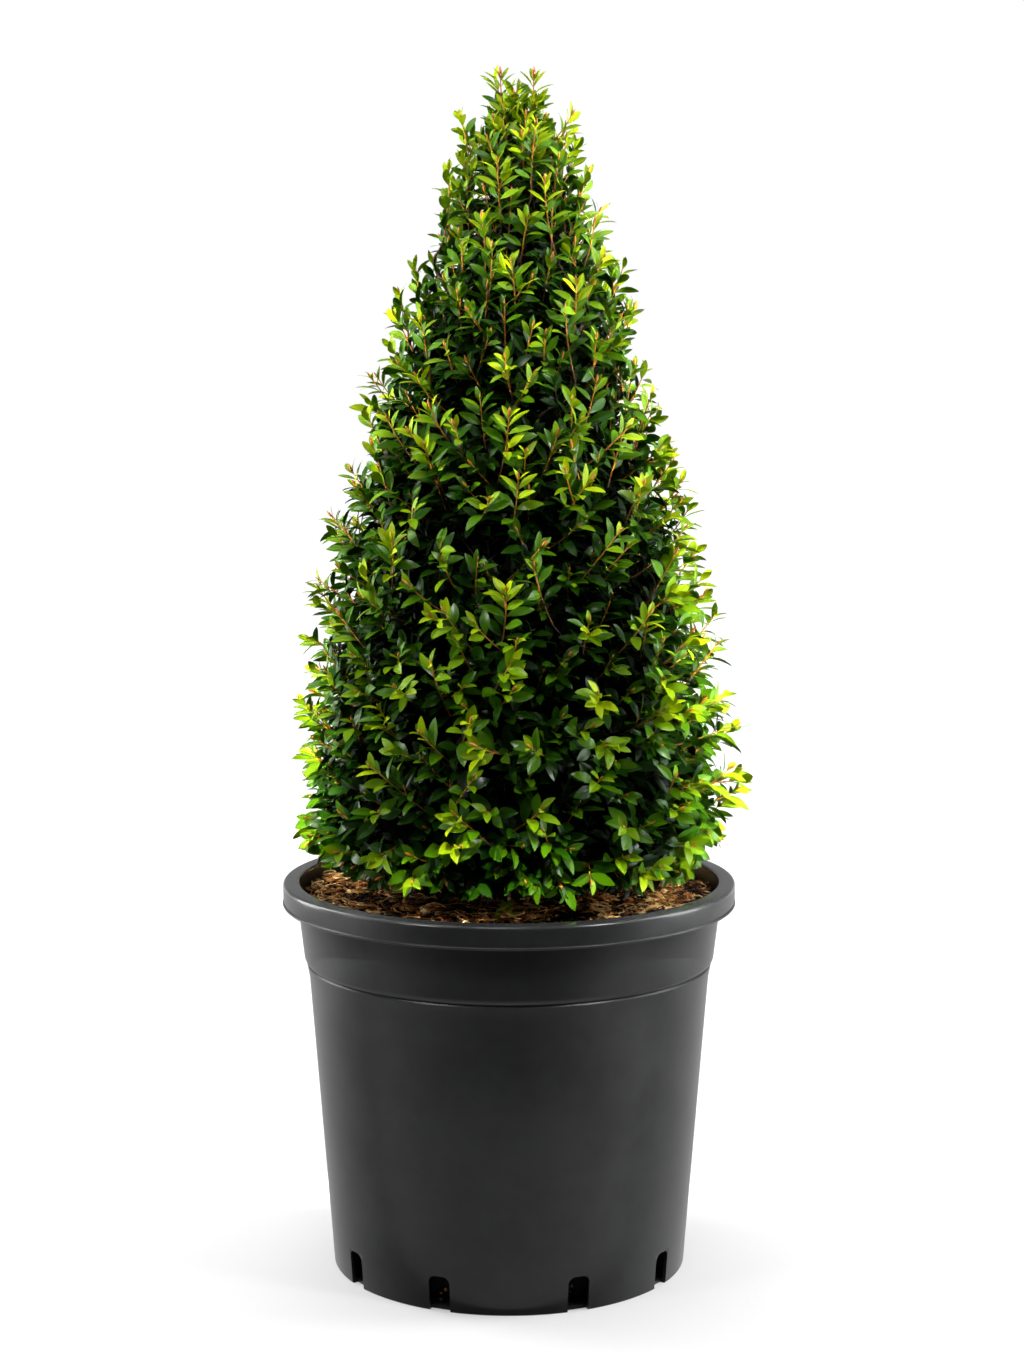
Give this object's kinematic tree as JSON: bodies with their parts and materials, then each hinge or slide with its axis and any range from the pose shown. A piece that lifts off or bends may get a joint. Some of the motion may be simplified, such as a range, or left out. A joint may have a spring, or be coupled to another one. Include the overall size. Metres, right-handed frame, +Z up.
{
  "type": "potted cone topiary",
  "caption": "Clipped cone of small-leaved eugenia on a short trunk, standing in a round black nursery pot with a rolled rim, a stepped wall and drain notches.",
  "frame": {"origin": "centre of the pot's flat underside, on the surface the pot stands on", "axes": "+Z up along the pot's axis; -Y is the side seen in the picture, +X is that view's right; the drain notches start half a step from -Y"},
  "size_m": [0.476, 0.4745, 1.1722],
  "materials": {
    "pot_plastic": "satin",
    "bark_mulch": "matte",
    "trunk_bark": "matte",
    "eugenia_leaf": "satin"
  },
  "bodies": {
    "root": {"pot": "pot_plastic", "soil": "bark_mulch", "trunk": "trunk_bark", "crown": "eugenia_leaf"}
  },
  "joints": []
}
